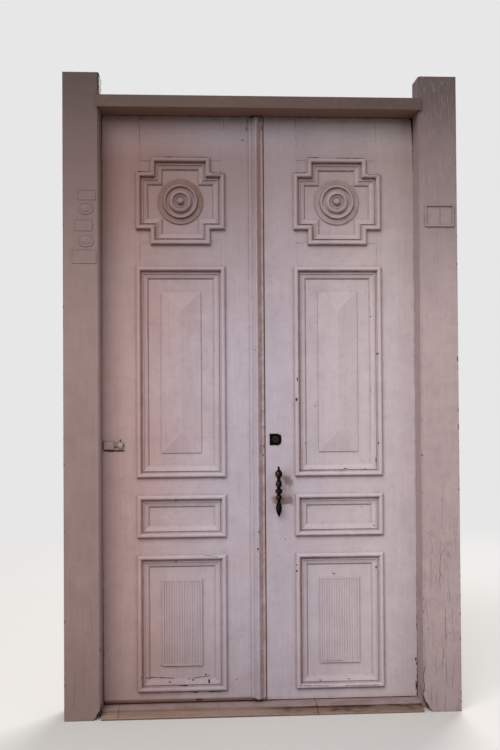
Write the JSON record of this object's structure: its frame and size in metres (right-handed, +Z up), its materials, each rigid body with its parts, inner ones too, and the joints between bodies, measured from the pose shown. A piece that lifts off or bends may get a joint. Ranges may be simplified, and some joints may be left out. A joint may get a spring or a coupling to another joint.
{
  "type": "carved wooden double door with frame",
  "caption": "Tall two-leaf carved wooden entrance door in its timber frame, with cross, hipped and reeded panels, astragal, lock and pull.",
  "frame": {"origin": "middle of the opening, on the underside of the threshold, in the plane of the leaves' street face", "axes": "+X to the right as seen from the street, +Y from the street into the house, +Z up"},
  "size_m": [1.588, 0.2073, 2.572],
  "materials": {
    "leaf_paint": "old off-white oil paint, chipped at edges, dirt in the quirks",
    "frame_paint": "weathered off-white paint with long checks",
    "sill_wood": "bare worn timber with traces of paint",
    "dark_bronze": "dark cast metal, worn bright on the beads",
    "lock_brass": "tarnished brass",
    "painted_iron": "iron under several coats of paint",
    "hardware_steel": "dull aged steel"
  },
  "bodies": {
    "frame": {"left_post": "frame_paint", "right_post": "frame_paint", "head_bar": "frame_paint", "threshold": "sill_wood", "jamb_hinge_plates": "hardware_steel", "hinge_pins": "hardware_steel", "rod_keepers": "hardware_steel"},
    "left_leaf": {"left_hinge_stile": "leaf_paint", "left_meeting_stile": "leaf_paint", "left_bottom_rail": "leaf_paint", "left_lower_rail": "leaf_paint", "left_lock_rail": "leaf_paint", "left_frieze_rail": "leaf_paint", "left_top_rail": "leaf_paint", "left_corner_blocks": "leaf_paint", "left_cross_panel": "leaf_paint", "left_tall_panel": "leaf_paint", "left_small_panel": "leaf_paint", "left_low_panel": "leaf_paint", "left_low_moulding": "leaf_paint", "left_small_moulding": "leaf_paint", "left_tall_moulding": "leaf_paint", "left_cross_moulding": "leaf_paint", "left_rosette": "leaf_paint", "left_hinge_plates": "hardware_steel", "astragal": "leaf_paint", "lock_keep": "hardware_steel", "latch_case": "painted_iron", "latch_bolt": "painted_iron", "top_rod_plate": "hardware_steel", "bottom_rod_plate": "hardware_steel"},
    "right_leaf": {"right_hinge_stile": "leaf_paint", "right_meeting_stile": "leaf_paint", "right_bottom_rail": "leaf_paint", "right_lower_rail": "leaf_paint", "right_lock_rail": "leaf_paint", "right_frieze_rail": "leaf_paint", "right_top_rail": "leaf_paint", "right_corner_blocks": "leaf_paint", "right_cross_panel": "leaf_paint", "right_tall_panel": "leaf_paint", "right_small_panel": "leaf_paint", "right_low_panel": "leaf_paint", "right_low_moulding": "leaf_paint", "right_small_moulding": "leaf_paint", "right_tall_moulding": "leaf_paint", "right_cross_moulding": "leaf_paint", "right_rosette": "leaf_paint", "right_hinge_plates": "hardware_steel", "lock_rose": "dark_bronze", "lock_cylinder": "lock_brass", "lock_case": "hardware_steel", "pull_handle": "dark_bronze"},
    "lock_turn": {"lock_plug": "lock_brass", "lock_turn_knob": "hardware_steel"},
    "lock_bolt_body": {"lock_bolt": "hardware_steel"},
    "top_rod_body": {"top_rod": "hardware_steel"},
    "bottom_rod_body": {"bottom_rod": "hardware_steel"}
  },
  "joints": [
    {"name": "left_leaf_hinge", "type": "hinge", "parent": "frame", "child": "left_leaf", "pos_m": [-0.6585, 0.0515, 0], "axis": [0, 0, 1], "range_deg": [0, 95]},
    {"name": "right_leaf_hinge", "type": "hinge", "parent": "frame", "child": "right_leaf", "pos_m": [0.6585, 0.0515, 0], "axis": [0, 0, -1], "range_deg": [0, 95]},
    {"name": "lock_turn_joint", "type": "hinge", "parent": "right_leaf", "child": "lock_turn", "pos_m": [0.062, 0, 1.097], "axis": [0, 1, 0], "range_deg": [0, 90]},
    {"name": "lock_bolt_slide", "type": "slide", "parent": "right_leaf", "child": "lock_bolt_body", "axis": [-1, 0, 0], "range_m": [0, 0.016]},
    {"name": "top_rod_slide", "type": "slide", "parent": "left_leaf", "child": "top_rod_body", "axis": [0, 0, 1], "range_m": [0, 0.025]},
    {"name": "bottom_rod_slide", "type": "slide", "parent": "left_leaf", "child": "bottom_rod_body", "axis": [0, 0, -1], "range_m": [0, 0.025]}
  ],
  "couplings": [
    {"joint": "lock_bolt_slide", "follows": "lock_turn_joint", "m_per_rad": 0.010186}
  ]
}
